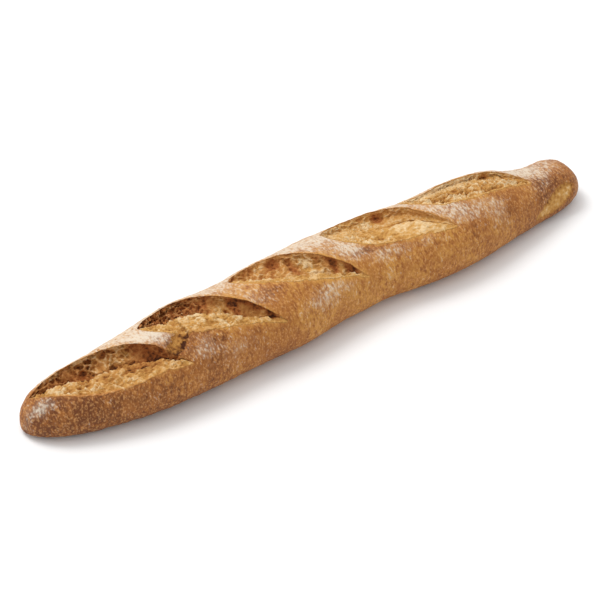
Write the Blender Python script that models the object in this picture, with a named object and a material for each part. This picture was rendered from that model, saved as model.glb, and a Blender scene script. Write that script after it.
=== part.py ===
"""Rustic baguette: one solid loaf whose crust has been slashed five times and torn open.

The crust is one sheet wrapped round the loaf. Its columns wind along the loaf in step with the
slashes, so each slash is a cut along one column. The cut is opened into a lens, and a second sheet
lines the opening: lip, undercut, wall, valley and a raised bed of crumb. Metres, +Z up, +X along
the loaf, resting on its flat base at Z = 0. A place round the loaf is a share of a turn: 0 is under
the loaf, 0.24 its far side (+Y), 0.5 its top and 0.76 its near side.
"""

import math

import bmesh
import bpy
import numpy as np

# ---- the loaf ----
LENGTH = 0.540
HEIGHT_PER_WIDTH = 0.72
WIDEST_AT = 0.42  # height of the widest point, as a share of the section's height
TIP_AT = 0.10  # height of the loaf's two tips, as a share of the section's height
BASE_FLATTENING = 1.19  # above 1 the section is cut off flat underneath
SIDE_POWER = 2.1  # superellipse power of the sides and top
HEEL_POWER = 2.4  # the same between the side and the base
END_SPAN = 0.10  # share of the length over which each end rounds off
END_POWER = 2.2

# Width and sideways sway at stations along the loaf, which are shares of its length
STATIONS = (0.0, 0.08, 0.17, 0.25, 0.33, 0.42, 0.50, 0.58, 0.67, 0.75, 0.83, 0.92, 1.0)
WIDTHS = (0.0561, 0.0571, 0.071, 0.0775, 0.078, 0.0804, 0.0793, 0.0746, 0.0771, 0.076, 0.068, 0.0528, 0.0643)
SWAYS = (
    0.0072, -0.0017, -0.0068, -0.0061, -0.0056, -0.0048, -0.0001,
    -0.0001, -0.0053, -0.0055, -0.0023, -0.0027, 0.003,
)

# ---- the slashes ----
TWIST = 2.2  # how fast they wind round the loaf, in turns per metre
TWIST_EASES_AT = -0.03  # past this X they wind less and less
TWIST_EASING = 5.4
LIFT = 0.003  # how far a lip stands up where its slash is widest
# start and end are places along X, turn the start's place round the loaf. far and near are how wide
# the crust is folded back on either side, in shares of a turn, and far_at and near_at where along
# the slash.
SLASHES = (
    dict(start=-0.259, end=-0.147, turn=0.415, far=0.097, far_at=0.52, near=0.137, near_at=0.29),
    dict(start=-0.166, end=-0.061, turn=0.440, far=0.120, far_at=0.43, near=0.053, near_at=0.23),
    dict(start=-0.081, end=0.024, turn=0.435, far=0.110, far_at=0.38, near=0.034, near_at=0.38),
    dict(start=0.012, end=0.114, turn=0.430, far=0.133, far_at=0.46, near=0.084, near_at=0.30),
    dict(start=0.089, end=0.209, turn=0.430, far=0.103, far_at=0.65, near=0.056, near_at=0.23),
)
LENS_POWER = 1.9  # a higher power gives an opening more pointed ends
SPREAD = 0.40  # share of a turn over which the crust beside a slash gives way
LIP_REACH = 0.013  # how far back from a lip the crust lifts
LIP_POWER = 1.5
RISE_POWER = 1.3  # how gently the lift starts at the ends of a slash
NEAR_SWELL = 0.0012
NEAR_REACH = 0.012
FULL_OPENING = 0.026  # an opening this wide has its full depth

CRUST_THICKNESS = 0.0014
UNDERCUT = 0.0016
VALLEY_DEPTH = 0.0085
BED_DEPTH = 0.0024
# The lining from the lip to the near edge: share of the opening's width, and depth below the
# straight line across it
PROFILE = (
    (0.00, 0.0),
    (-0.02, CRUST_THICKNESS),
    (-0.05, CRUST_THICKNESS + UNDERCUT),
    (0.10, 0.66 * VALLEY_DEPTH),
    (0.42, VALLEY_DEPTH),
    (0.56, 0.5 * (VALLEY_DEPTH + BED_DEPTH)),
    (0.72, BED_DEPTH),
    (0.88, 0.55 * BED_DEPTH),
    (1.00, 0.0),
)

# ---- torn places: across the bridge between the first two slashes, and round the tail ----
TEARS = (
    dict(start=(-0.163, 0.620), end=(-0.141, 0.549), half_width=0.006, depth=0.0035),
    dict(start=(0.204, 0.762), end=(0.243, 0.686), half_width=0.009, depth=0.0022),
)

# ---- mesh ----
COLUMNS = 42
ROWS = 96
END_ROWS = 9  # rows in the first and last part of the loaf, closer together towards the tips
END_ROW_SPAN = 0.05
SECTION_POINTS = 1441
STEP_ALONG = 0.0008  # the short steps along and round the loaf that give its outward direction
STEP_ROUND = 0.004
WELD = 0.00005
SMOOTH_BELOW = math.radians(40)

CRUST_COLOUR = (0.56, 0.28, 0.095, 1.0)
CRUST_ROUGHNESS = 0.6


def section_table():
    """The section of a loaf with a half width of 1: place round it, Y, Z and its girth."""
    angle = np.linspace(-0.5 * np.pi, 1.5 * np.pi, SECTION_POINTS)
    cosine, sine = np.cos(angle), np.sin(angle)
    y = np.sign(cosine) * np.abs(cosine) ** (2 / SIDE_POWER)
    over = WIDEST_AT + (1 - WIDEST_AT) * np.abs(sine) ** (2 / SIDE_POWER)
    under = WIDEST_AT * (1 - BASE_FLATTENING * np.abs(sine) ** (2 / HEEL_POWER))
    z = 2 * HEIGHT_PER_WIDTH * np.maximum(np.where(sine >= 0, over, under), 0)
    length = np.concatenate([[0], np.cumsum(np.hypot(np.diff(y), np.diff(z)))])
    return length / length[-1], y, z, length[-1]


TURN, SECTION_Y, SECTION_Z, UNIT_GIRTH = section_table()


def smooth(values, x):
    """A smooth curve through the values at the loaf's stations."""
    place, value = np.array(STATIONS), np.array(values)
    slope = np.gradient(value, place)
    share = x / LENGTH + 0.5
    i = np.clip(np.searchsorted(place, share, side="right") - 1, 0, len(place) - 2)
    gap = place[i + 1] - place[i]
    t = (share - place[i]) / gap
    between = value[i] + (value[i + 1] - value[i]) * t * t * (3 - 2 * t)
    return between + gap * t * (1 - t) * (slope[i] * (1 - t) - slope[i + 1] * t)


def half_width(x):
    return smooth(WIDTHS, x) / 2


def end_rounding(x):
    """1 along the loaf, falling to 0 at its tips."""
    inside = np.clip((0.5 - np.abs(x) / LENGTH) / END_SPAN, 0, 1)
    return (1 - (1 - inside) ** END_POWER) ** (1 / END_POWER)


def girth(x):
    return UNIT_GIRTH * half_width(x) * end_rounding(x)


def body(x, turn):
    """The plain loaf's surface."""
    half, rounding = half_width(x), end_rounding(x)
    middle = 2 * HEIGHT_PER_WIDTH * TIP_AT * half
    turn = np.mod(turn, 1)
    y = smooth(SWAYS, x) + rounding * half * np.interp(turn, TURN, SECTION_Y)
    z = middle + rounding * (half * np.interp(turn, TURN, SECTION_Z) - middle)
    return np.stack([x + 0 * y, y, z], axis=-1)


def unit(vectors):
    return vectors / np.maximum(np.linalg.norm(vectors, axis=-1, keepdims=True), 1e-9)


def outward(x, turn):
    """The direction out of the plain loaf, from two short steps on its surface."""
    x = np.clip(x, STEP_ALONG - LENGTH / 2, LENGTH / 2 - STEP_ALONG)
    along = body(x + STEP_ALONG, turn) - body(x - STEP_ALONG, turn)
    around = body(x, turn + STEP_ROUND) - body(x, turn - STEP_ROUND)
    return unit(np.cross(around, along))


def winding(x):
    """How far round the loaf the columns have wound at x."""
    return TWIST * x - TWIST_EASING / 2 * np.maximum(x - TWIST_EASES_AT, 0) ** 2


def column_of(slash):
    return round((slash["turn"] - float(winding(slash["start"]))) * COLUMNS)


def lens(slash, x, widest_at):
    """0 at both ends of a slash and beyond, and 1 where it is widest."""
    share = np.clip((x - slash["start"]) / (slash["end"] - slash["start"]), 0, 1)
    a, b = LENS_POWER * widest_at, LENS_POWER * (1 - widest_at)
    return share**a * (1 - share) ** b / (widest_at**a * (1 - widest_at) ** b)


def apart(turn):
    """A difference between two places round the loaf, the short way."""
    return np.mod(turn + 0.5, 1) - 0.5


def from_cut(slash, column, side):
    """How far a column is from a slash's cut, and whether it lies on the cut's far side. side is -1
    for the far edge of a cut and 1 for its near edge, and tells the two edges apart."""
    away = apart((column - column_of(slash)) / COLUMNS)
    return away, (away < -1e-9) | ((np.abs(away) <= 1e-9) & (side < 0))


def opened(column, x, side):
    """Where a column lies at x once the slashes have pushed the crust aside."""
    turn = column / COLUMNS + winding(x)
    for slash in SLASHES:
        away, on_far = from_cut(slash, column, side)
        far = -slash["far"] * lens(slash, x, slash["far_at"])
        near = slash["near"] * lens(slash, x, slash["near_at"])
        gives_way = np.clip(1 - np.abs(away) / SPREAD, 0, 1) ** 2
        turn = turn + np.where(on_far, far, near) * gives_way
    return turn


def lifted(column, x, side):
    """How far the crust stands out beside the slashes, and sinks in where it is torn."""
    turn = opened(column, x, side)
    height = np.zeros(turn.shape)
    for slash in SLASHES:
        on_far = from_cut(slash, column, side)[1]
        from_lip = np.abs(apart(opened(column_of(slash), x, -1.0) - turn)) * girth(x)
        from_rim = np.abs(apart(opened(column_of(slash), x, 1.0) - turn)) * girth(x)
        lip = LIFT * np.exp(-((from_lip / LIP_REACH) ** LIP_POWER))
        rim = NEAR_SWELL * np.exp(-((from_rim / NEAR_REACH) ** 2))
        height += np.where(on_far, lip, rim) * lens(slash, x, 0.5) ** RISE_POWER
    for tear in TEARS:
        (x0, turn0), (x1, turn1) = tear["start"], tear["end"]
        along, around = x1 - x0, (turn1 - turn0) * girth(x)
        dx, dy = x - x0, apart(turn - turn0) * girth(x)
        share = np.clip((dx * along + dy * around) / (along**2 + around**2), 0, 1)
        away = np.hypot(dx - share * along, dy - share * around) / tear["half_width"]
        height -= tear["depth"] * np.exp(-(away**2))
    return height


def crust(column, x, side):
    """A point on the finished crust. Nothing reaches below the flat base."""
    turn = opened(column, x, side)
    point = body(x, turn) + outward(x, turn) * lifted(column, x, side)[..., None]
    point[..., 2] = np.maximum(point[..., 2], 0)
    return point


def lining(slash, x, place):
    """A point inside a slash. place counts the points of PROFILE, from the lip to the near edge."""
    column = np.full(x.shape, float(column_of(slash)))
    lip, rim = crust(column, x, -1 + 0 * x), crust(column, x, 1 + 0 * x)
    sideways = unit(rim - lip)
    out = outward(x, (opened(column, x, -1 + 0 * x) + opened(column, x, 1 + 0 * x)) / 2)
    out = unit(out - sideways * np.sum(out * sideways, axis=-1, keepdims=True))
    share, depth = np.array(PROFILE)[place].T
    depth = depth * np.clip(np.linalg.norm(rim - lip, axis=-1) / FULL_OPENING, 0, 1)
    return lip + (rim - lip) * share[..., None] - out * depth[..., None]


def row_of(rows, x):
    return int(np.argmin(np.abs(rows - x)))


def row_places():
    """The rows' places along X: closer together towards the tips, with a row at each slash's end."""
    end = END_ROW_SPAN * (np.arange(END_ROWS) / END_ROWS) ** 2
    middle = np.linspace(END_ROW_SPAN, 1 - END_ROW_SPAN, ROWS - 2 * END_ROWS + 1)
    places = (np.concatenate([end, middle, 1 - end[::-1]]) - 0.5) * LENGTH
    for slash in SLASHES:
        for end_place in (slash["start"], slash["end"]):
            places[row_of(places, end_place)] = end_place
    return places


def grid_counts(bm, across, along):
    """Adds a flat grid and gives each new vertex with its column and row."""
    made = bmesh.ops.create_grid(bm, x_segments=across, y_segments=along, size=0.5)["verts"]
    return {v: (round((v.co.x + 0.5) * across), round((v.co.y + 0.5) * along)) for v in made}


def cut_along_slashes(bm, counts, rows):
    """Splits the crust sheet along each slash and gives each vertex its side of the cut."""
    cut = []
    for slash in SLASHES:
        column = column_of(slash) % COLUMNS
        first, last = row_of(rows, slash["start"]), row_of(rows, slash["end"])
        for edge in bm.edges:
            (ca, ra), (cb, rb) = (counts[v] for v in edge.verts)
            if ca == cb == column and first <= min(ra, rb) and max(ra, rb) <= last:
                cut.append(edge)
    bmesh.ops.split_edges(bm, edges=cut)
    sides = {}
    for vert in bm.verts:
        middle = sum(face.calc_center_median().x for face in vert.link_faces) / len(vert.link_faces)
        sides[vert] = -1.0 if middle < vert.co.x else 1.0
    return sides


def place_all(verts, points):
    for vert, point in zip(verts, points):
        vert.co = point


def loaf_mesh():
    rows = row_places()
    bm = bmesh.new()
    counts = grid_counts(bm, COLUMNS, ROWS)
    sides = cut_along_slashes(bm, counts, rows)
    verts = list(bm.verts)
    columns = np.array([round((v.co.x + 0.5) * COLUMNS) for v in verts], float)
    places = np.array([rows[round((v.co.y + 0.5) * ROWS)] for v in verts])
    place_all(verts, crust(columns, places, np.array([sides[v] for v in verts])))

    for slash in SLASHES:
        first, last = row_of(rows, slash["start"]), row_of(rows, slash["end"])
        counts = grid_counts(bm, len(PROFILE) - 1, last - first)
        place, row = np.array(list(counts.values())).T
        place_all(counts, lining(slash, rows[first + row], place))

    bmesh.ops.remove_doubles(bm, verts=bm.verts, dist=WELD)
    bmesh.ops.recalc_face_normals(bm, faces=bm.faces)
    low = np.min([v.co for v in bm.verts], axis=0)
    high = np.max([v.co for v in bm.verts], axis=0)
    centre = (low + high) / 2
    bmesh.ops.translate(bm, verts=bm.verts, vec=(-centre[0], -centre[1], -low[2]))
    mesh = bpy.data.meshes.new("baguette")
    bm.to_mesh(mesh)
    bm.free()
    mesh.shade_smooth()
    mesh.set_sharp_from_angle(angle=SMOOTH_BELOW)
    return mesh


def crust_material():
    material = bpy.data.materials.new("crust")
    material.use_nodes = True
    shader = material.node_tree.nodes["Principled BSDF"]
    shader.inputs["Base Color"].default_value = CRUST_COLOUR
    shader.inputs["Roughness"].default_value = CRUST_ROUGHNESS
    shader.inputs["Metallic"].default_value = 0.0
    return material


def main():
    for old in list(bpy.data.objects):
        bpy.data.objects.remove(old, do_unlink=True)
    collection = bpy.data.collections.new("rustic baguette")
    bpy.context.scene.collection.children.link(collection)
    loaf = bpy.data.objects.new("baguette", loaf_mesh())
    loaf.data.materials.append(crust_material())
    collection.objects.link(loaf)


main()
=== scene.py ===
"""Rustic baguette: the finished loaf, baked, torn and floured, on a pale stage.

The shape follows the CAD loaf: a crust sheet wraps round the loaf, its columns wind in step with
the slashes, and a finer sheet lines each slash. Everything is in metres, +Z up, +X along the loaf.
A place round the loaf is a share of a turn: 0 is under it, 0.24 its far side (+Y), 0.5 its top and
0.76 its near side.
"""

import math

import bpy
import numpy as np
from bpy.props import FloatProperty, FloatVectorProperty, PointerProperty
from bpy.types import Operator, Panel, PropertyGroup
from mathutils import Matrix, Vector, noise


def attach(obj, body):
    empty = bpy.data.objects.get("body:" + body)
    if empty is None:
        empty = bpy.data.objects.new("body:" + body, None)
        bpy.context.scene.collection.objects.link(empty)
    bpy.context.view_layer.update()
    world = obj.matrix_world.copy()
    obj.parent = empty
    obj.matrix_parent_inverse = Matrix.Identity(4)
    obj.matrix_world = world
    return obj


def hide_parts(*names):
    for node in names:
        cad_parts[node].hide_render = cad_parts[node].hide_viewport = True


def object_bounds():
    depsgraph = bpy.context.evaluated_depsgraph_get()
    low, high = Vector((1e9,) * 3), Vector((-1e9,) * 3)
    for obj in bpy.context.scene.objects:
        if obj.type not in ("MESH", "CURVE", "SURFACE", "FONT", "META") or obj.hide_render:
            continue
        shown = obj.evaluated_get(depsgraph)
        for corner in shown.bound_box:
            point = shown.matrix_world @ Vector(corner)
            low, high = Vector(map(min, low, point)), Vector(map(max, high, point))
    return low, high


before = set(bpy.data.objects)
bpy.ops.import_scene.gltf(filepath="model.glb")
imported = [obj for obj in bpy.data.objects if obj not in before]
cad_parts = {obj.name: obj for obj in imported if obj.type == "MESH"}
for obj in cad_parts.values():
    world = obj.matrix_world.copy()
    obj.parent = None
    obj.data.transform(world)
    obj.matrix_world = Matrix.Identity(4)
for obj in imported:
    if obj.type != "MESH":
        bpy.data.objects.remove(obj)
CAD_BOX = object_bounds()

bl_info = {
    "name": "Rustic Baguette",
    "version": (1, 0, 0),
    "blender": (4, 5, 0),
    "location": "3D View > Sidebar > Bread",
    "description": "Builds a slashed, torn and floured rustic baguette on a pale stage",
    "category": "Add Mesh",
}

# ---- the loaf, as the CAD has it ----
LENGTH = 0.540
HEIGHT_PER_WIDTH = 0.72
WIDEST_AT = 0.42  # share of the height
TIP_AT = 0.10  # share of the height at which the ends come to a point
BASE_FLATTENING = 1.19
SIDE_POWER, HEEL_POWER = 2.1, 2.4  # how square the section is above and below
END_SPAN = 0.10  # share of the length over which each end rounds off
END_POWER = 2.2
# Widths, and how far the loaf sways sideways, at shares of its length
STATIONS = (0.0, 0.08, 0.17, 0.25, 0.33, 0.42, 0.50, 0.58, 0.67, 0.75, 0.83, 0.92, 1.0)
WIDTHS = (0.0561, 0.0571, 0.0710, 0.0775, 0.0780, 0.0804, 0.0793,
          0.0746, 0.0771, 0.0760, 0.0680, 0.0528, 0.0643)
SWAYS = (0.0072, -0.0017, -0.0068, -0.0061, -0.0056, -0.0048, -0.0001,
         -0.0001, -0.0053, -0.0055, -0.0023, -0.0027, 0.0030)

TWIST = 2.2  # turns a metre that the columns wind round the loaf
TWIST_EASES_AT, TWIST_EASING = -0.03, 5.4
CUT_PLACES = 42  # a slash may be cut along one of this many columns
LENS_POWER = 1.9
SPREAD = 0.40  # the crust gives way this far round from a cut
LIFT, LIP_REACH, LIP_POWER = 0.003, 0.013, 1.5  # how a lip stands out of the crust
NEAR_SWELL, NEAR_REACH = 0.0012, 0.012  # and how the crust swells at the near edge
RISE_POWER = 1.3
FULL_OPENING = 0.026  # an opening this wide is as deep as PROFILE says
WIDE_OPENING = FULL_OPENING * 1.15

# ---- the slashes ----
# start and end are X, turn is the place round the loaf where the cut starts, and far and near are how
# far round its edges are pushed, most at the shares far_at and near_at of its length. band is how
# golden the crust beside its near edge is. hang is how far its lip overhangs: 1 as PROFILE has it and
# 0 for a wall that leans back. coarse is how large its bubbles are. The lists run from its start to
# its end and are in percent:
#   valley   where its deepest line runs across it
#   floor    how deep that line is
#   roast    how dark its wall has baked, below 0 for paler than plain crumb, which is partly
#            painted light that lifts the shade under the lip
#   bubble   how strongly its wall is pitted
#   shred    how strongly its bed is torn
#   pales    how much less the foot of its wall has baked
#   spill    how far crumb runs over its near edge
# pockets are single places inside it: percent along and across it, half length, half width and depth
# in millimetres (below 0 for a lump) and percent darker (below 0 for paler). In a deep hole the
# darkening is partly painted shade.
SLASHES = (
    dict(
        start=-0.259, end=-0.147, turn=0.415, far=0.097, far_at=0.52, near=0.137, near_at=0.29,
        band=0.45, hang=0.9, coarse=1.15, valley=(25, 30, 38, 38, 42, 30),
        floor=(100, 90, 100, 100, 100, 100), roast=(70, 75, 80, 75, 75, 75),
        bubble=(140, 140, 120, 100, 50, 50), shred=(80, 90, 80, 70, 50, 50),
        pales=(10, 10, 35, 45, 20, 20), spill=(50, 80, 100, 100, 60, 80),
        pockets=(
            (7, 42, 3, 4, 3, 60), (47, 34, 6, 5, 2, -22), (54, 28, 4, 5, 1.5, -18),
            (59, 42, 4, 4, -1.5, -15), (76, 27, 14, 8, 3, 42), (65.5, 26, 3, 5, 1, -30),
            (36.5, 54, 3, 3, 2, 50), (27, 36, 4.5, 3.5, 2.8, 30), (36, 38, 4, 3, 2.2, 20),
            (16, 37, 3, 3, 2, 30), (64, 66, 16, 7, 0.6, 20), (76, 64, 16, 9, 0.6, 30),
            (34, 78, 34, 20, 0, 22),
        ),
    ),
    dict(
        start=-0.166, end=-0.061, turn=0.440, far=0.120, far_at=0.43, near=0.053, near_at=0.23,
        band=0.8, hang=0.7, coarse=0.75, valley=(15, 26, 32, 47, 74, 15),
        floor=(80, 80, 85, 95, 100, 90), roast=(140, 140, 130, 100, 90, 110),
        bubble=(100, 100, 100, 50, 30, 50), shred=(60, 60, 80, 80, 60, 40),
        pales=(30, 20, 20, 70, 50, 20), spill=(80, 160, 200, 80, 80, 80),
        pockets=(
            (64, 26, 7, 6, 2, -50), (64.7, 36, 1.6, 1.6, 3, 120), (79, 34, 7, 6, 3, -10),
            (80, 8, 9, 3, 0, 60), (70, 26, 3.2, 9, -1, 80), (91, 38, 3, 5, 3, 80),
        ),
    ),
    dict(
        start=-0.081, end=0.024, turn=0.435, far=0.110, far_at=0.38, near=0.034, near_at=0.38,
        band=0.9, hang=0.1, coarse=1.15, valley=(15, 55, 68, 76, 88, 50),
        floor=(80, 80, 85, 90, 90, 80), roast=(90, 70, 60, 60, 70, 80),
        bubble=(50, 50, 50, 45, 40, 40), shred=(50, 50, 50, 50, 50, 40),
        pales=(10, 20, 35, 35, 30, 20), spill=(80, 80, 100, 100, 80, 80),
        pockets=(
            (40, 14, 5, 5, 2, 60), (78, 22, 3, 5, 2, 60), (88, 22, 4, 5, 2.2, 50),
            (83, 38, 3, 5, 1, -40), (60, 24, 5, 6, 1.2, -60), (70, 42, 4, 5, 1, -40),
            (50, 30, 3, 6, 1.6, 50),
        ),
    ),
    dict(
        start=0.012, end=0.114, turn=0.430, far=0.133, far_at=0.46, near=0.084, near_at=0.30,
        band=0.7, hang=0.1, coarse=0.9, valley=(75, 46, 40, 37, 39, 60),
        floor=(30, 35, 70, 80, 70, 70), roast=(-40, -20, 17, 40, 50, 60),
        bubble=(45, 50, 50, 35, 25, 15), shred=(70, 80, 50, 18, 15, 20),
        pales=(60, 60, 60, 80, 80, 40), spill=(150, 120, 80, 60, 60, 80),
        pockets=(
            (54, 19, 4.5, 8, 2.6, 90), (43, 10, 2, 3, 1, 50), (44.7, 29, 5, 5, 1, -50),
            (74, 46, 13, 1.3, 2, 120), (70, 74, 21, 11, -1.8, -42), (12, 85, 3, 3, -2, -80),
        ),
    ),
    dict(
        start=0.089, end=0.209, turn=0.430, far=0.103, far_at=0.65, near=0.056, near_at=0.23,
        band=0.6, hang=0.1, coarse=0.75, valley=(35, 30, 30, 30, 30, 35),
        floor=(20, 20, 25, 40, 50, 60), roast=(-70, -70, -60, -40, 0, 20),
        bubble=(45, 50, 50, 50, 50, 40), shred=(80, 100, 100, 100, 100, 80),
        pales=(50, 50, 50, 50, 50, 50), spill=(100, 100, 100, 100, 100, 80),
        pockets=(
            (72, 20, 4.5, 6, 2, 70), (45, 62, 1.5, 2, 2, 80), (62, 54, 2, 2, 2, 80),
            (74, 57, 1.5, 2, 2, 80), (84, 42, 2, 3, 2, 60), (50, 80, 60, 20, 0, 14),
        ),
    ),
)

# What the numbers of a pocket, and of a spot further down, are divided by
POCKET_UNITS = (100, 100, 1000, 1000, 1000, 100)
SPOT_UNITS = (1000, 1, 1000, 1000, 1)

# The lining from the lip to the near edge: share of the opening's width, and depth below the
# straight line across it where the opening is full
PROFILE = (
    (0.000, 0.0000), (-0.018, 0.0006), (-0.024, 0.0013), (-0.055, 0.0028),
    (-0.020, 0.0046), (0.090, 0.0062), (0.250, 0.0078), (0.400, 0.0088),
    (0.445, 0.0078), (0.500, 0.0050), (0.560, 0.0033), (0.650, 0.0023),
    (0.780, 0.0017), (0.900, 0.0011), (0.970, 0.0005), (1.000, 0.0000),
)
WALL_FOOT = (0.090, 0.0062)  # down to here in the profile a wall overhangs or leans, as its slash says
VALLEY_SHARE = 0.40  # where PROFILE is deepest
VALLEY_AT = 0.475  # how far along the lining's width the valley lies
SPILL = 0.0014  # metres of crumb over the near edge where spill is 100
LINING_FULLNESS = 1.25  # how much wider the lining is than the opening it lines

# ---- torn places in the crust, from one place (X and place round the loaf) to another ----
# step is the side on which the tear is steep and has painted shade: 1 for its +X side and -1 for
# the other. tone is how pale it is inside, shade how much painted shade darkens its steep side,
# frayed how ragged its edges are and widens how much wider it gets towards its end.
TEARS = (
    dict(start=(-0.1640, 0.622), end=(-0.1390, 0.543), half_width=0.0078, depth=0.0046, step=1,
         tone=0.23, shade=0.40, frayed=0.24, widens=0.0),
    dict(start=(0.2045, 0.7716), end=(0.2468, 0.6889), half_width=0.0116, depth=0.0030, step=-1,
         tone=0.60, shade=0.30, frayed=0.14, widens=0.4),
)

TEAR_BEYOND = 0.1  # a tear closes this share of its length beyond its two places
TEAR_STEEP, TEAR_GENTLE = 0.32, 0.60  # how wide its sides are, in half widths
# Painted shade on a tear's steep side: where it is darkest and how far it reaches
SHADE_AT, SHADE_REACH = 0.75, 0.42  # where its steep side is darkest, and how far that goes

# ---- how baking and flour run over the crust ----
# How dark the near side has baked from the first tip to the tail, in percent, below 0 for pale
BAKED = (100, 100, 54, 40, 10, -5, -25, -15, -1, -6, 10, 60, 45)

# Each pair below is where a change starts and where it is complete: places round the loaf, metres
# from its middle, or shares of its height
NEAR_SIDE_FROM = (0.48, 0.60)
NEAR_SIDE_TO = (0.88, 1.00)
NOSE_BAKES_FROM = (0.235, 0.262)
TIPS_FROM = (0.244, 0.266)
TIPS_BAKE = 0.8  # both tips have baked this far like the near side
# The underside is darker: partly its darker crust, partly painted shade towards the floor
UNDERSIDE_UP_TO = (0.02, 0.50)
UNDERSIDE_ROAST_AND_SHADE = 0.30
TOP_ENDS_AT = 0.58
TOP_REACHES = (0.00, 0.14)
TOP_ABOVE = (0.40, 0.85)
TOP_PALES = 0.30
TOP_PALES_TO = (0.13, 0.19)
FLOUR_EVERYWHERE = 0.05
# Flour on the top, partly painted light that stands for the top's brightness
FLOUR_AND_LIGHT_ON_TOP = 0.74
FLOUR_ABOVE = (0.10, 0.60)
TAIL_LESS_FLOURED = 0.5
TAIL_FLOUR_FROM = (0.205, 0.235)
NOSE_LESS_FLOURED = 0.7
NOSE_FLOUR_FROM = (0.238, 0.262)
SPOT_STRENGTH = 0.55

# Spots where the crust is darkest and where flour lies thickest: X in millimetres, place round the
# loaf, half length and half width in millimetres, and strength, below 0 where flour has rubbed off
DARKENED = (
    (-240, 0.672, 19, 13, 1.35), (-236, 0.636, 18, 8, 0.8), (-61, 0.556, 12, 8, 0.6),
    (-50, 0.560, 14, 3, 0.8), (30, 0.582, 16, 4, 1.6), (62, 0.590, 6, 3, 0.8),
    (225, 0.615, 16, 12, 0.7),
)
FLOURED = (
    (-259, 0.562, 10, 6.8, 1.25), (-160, 0.519, 22, 14, 1.05), (-131, 0.640, 14, 14, 0.6),
    (-105, 0.690, 22, 14, 0.4), (-81, 0.478, 16, 12, -0.5), (-78, 0.568, 14, 8, 0.9),
    (-22, 0.665, 22, 12, 0.8), (0, 0.670, 16, 10, 0.3), (18, 0.552, 13, 10, 1.3),
    (48, 0.615, 24, 9, 0.8), (85, 0.622, 14, 8, 0.5), (118, 0.534, 17, 11, 0.85),
    (128, 0.590, 26, 10, 0.8), (158, 0.640, 16, 14, 0.7), (222, 0.510, 26, 18, 0.68),
)

# ---- lumps in the crust: sizes, the first of each along the loaf ----
LUMP_SIZE = 0.045
WRINKLE_SIZE = (0.007, 0.013, 0.013)
GRAIN_SIZE = 0.003
FRAY_SIZE = 0.0045
EDGE_SIZES, EDGE_SHARES = (0.011, 0.004, 0.0024), (1.0, 0.6, 0.4)

# ---- golden crust beside the slashes ----
RIM_BAND = 0.0034  # metres it reaches from the near edge
LIP_BAND = 0.0030  # and from the lip
LIP_GILDING = 0.6

# ---- crumb inside the slashes, in metres where it is a size ----
BUBBLE_RIM = 0.10  # share of a bubble's size that its rim takes
BUBBLE_REACH = 0.55
BUBBLE_STRETCH = (1.25, 1, 1)
SMALL_BUBBLES = 0.55  # their size, as a share of the large ones
BIG_SHARE, SMALL_SHARE = 0.7, 0.3
WARP_REACH, WARP_SIZE = 0.0022, 0.007
PATCH_SIZE = 0.013
ROLL_SIZE, ROLLS = 0.011, 0.6
CURL_SIZE, CURLS = 0.0040, 0.22
TORN_SIZE, TORN_SHARE = (0.0105, 0.0062, 0.0062), 1.2
SHRED_SIZE, SHRED_SHARE = (0.0044, 0.0032, 0.0032), 0.8
RIDGE_LEVEL = 0.45  # ridges rise above this and the ground between them lies below it
MOTTLE_SIZE = 0.009
FIRM_DEPTH = 0.0018  # a pocket deeper than this is smooth inside
FIRMNESS = 0.7
# Noise seeds of the first slash. Each further slash adds its number
SEEDS = dict(big=5, warp=15, small=25, rolls=35, torn=45, shreds=65, curls=85, patches=95, mottle=105)

# How pale the crumb is, painted shade and painted light included: 0 darkest, 1 cream
WALL_TONE = 0.69
ROAST_DARKENS = 0.42
# Painted light that lifts the lip's shade off the wall just under it
UNDER_LIP_PAINTED_LIGHT = 0.08
# Wall pits darker, ridges paler: partly toasted bubbles, partly painted shade and highlight
PITS_TOAST_AND_SHADE = 0.42
WALL_TONES = (0.16, 0.68)
# A wall with roast below 0 may be paler: partly golden crumb, partly painted light on it
WALL_PALE_AND_LIT = 0.4  # how far above that a pale wall may go
BED_TONE = 0.58
# Bed ridges paler and hollows darker: partly crumb tone, partly painted highlight and shade
RIDGES_PALE_AND_LIT = 0.40
MOTTLING = 0.24
# Painted shade along the valley at the foot of the wall
VALLEY_PAINTED_SHADE = 0.40
# How much a pocket's percent darkens the crumb; in a deep hole it is partly painted shade
POCKETS_DARKEN_AND_SHADE = 0.45
CRUST_TONE = 0.60

# ---- mesh ----
COLUMNS = 126
ROWS = 330
TEAR_ROWS_AT = -0.151  # where the rows lie twice as close
TEAR_ROWS_REACH = 0.016
LINING_ROWS = 2  # to each row of the crust
LINING_COLUMNS = 84
SECTION_POINTS = 1441
STEP_ALONG = 0.0008
STEP_ROUND = 0.004

# ---- texture places, in metres of crust ----
UV_SIZE = 0.492  # across the whole texture
UV_GAP = 0.004  # between its parts
UV_ROUND = 0.24  # once round the loaf
LINING_ZOOM = 1.85  # linings lie this much larger
LINING_STRIP = 0.0975  # from one lining to the next
LINING_ACROSS = 0.040

# ---- finish ----
SHEEN = 0.20
BUMP_STRENGTH = 0.8
BUMP_DISTANCE = 0.0011

# ---- camera ----
AZIMUTH = -36.883
ELEVATION = 38.610
DISTANCE = 1.6016
LENS, SENSOR_WIDTH = 121.0, 36.0
AIM = (0.0, 0.0, 0.03)
AIM_RIGHT = -0.0183
AIM_UP = -0.0181

# ---- light ----
KEY_FROM = (-0.20, 0.35, 0.90)
KEY_DISTANCE = 2.0
KEY_SIZE = (0.8, 0.8)
FLOOR_REACH = 12.0
FLOOR_LEVEL = -0.0002


# ==== settings ====


def length_setting(name, description, default):
    return FloatProperty(
        name=name, description=description, default=default, unit="LENGTH", precision=5
    )


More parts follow.
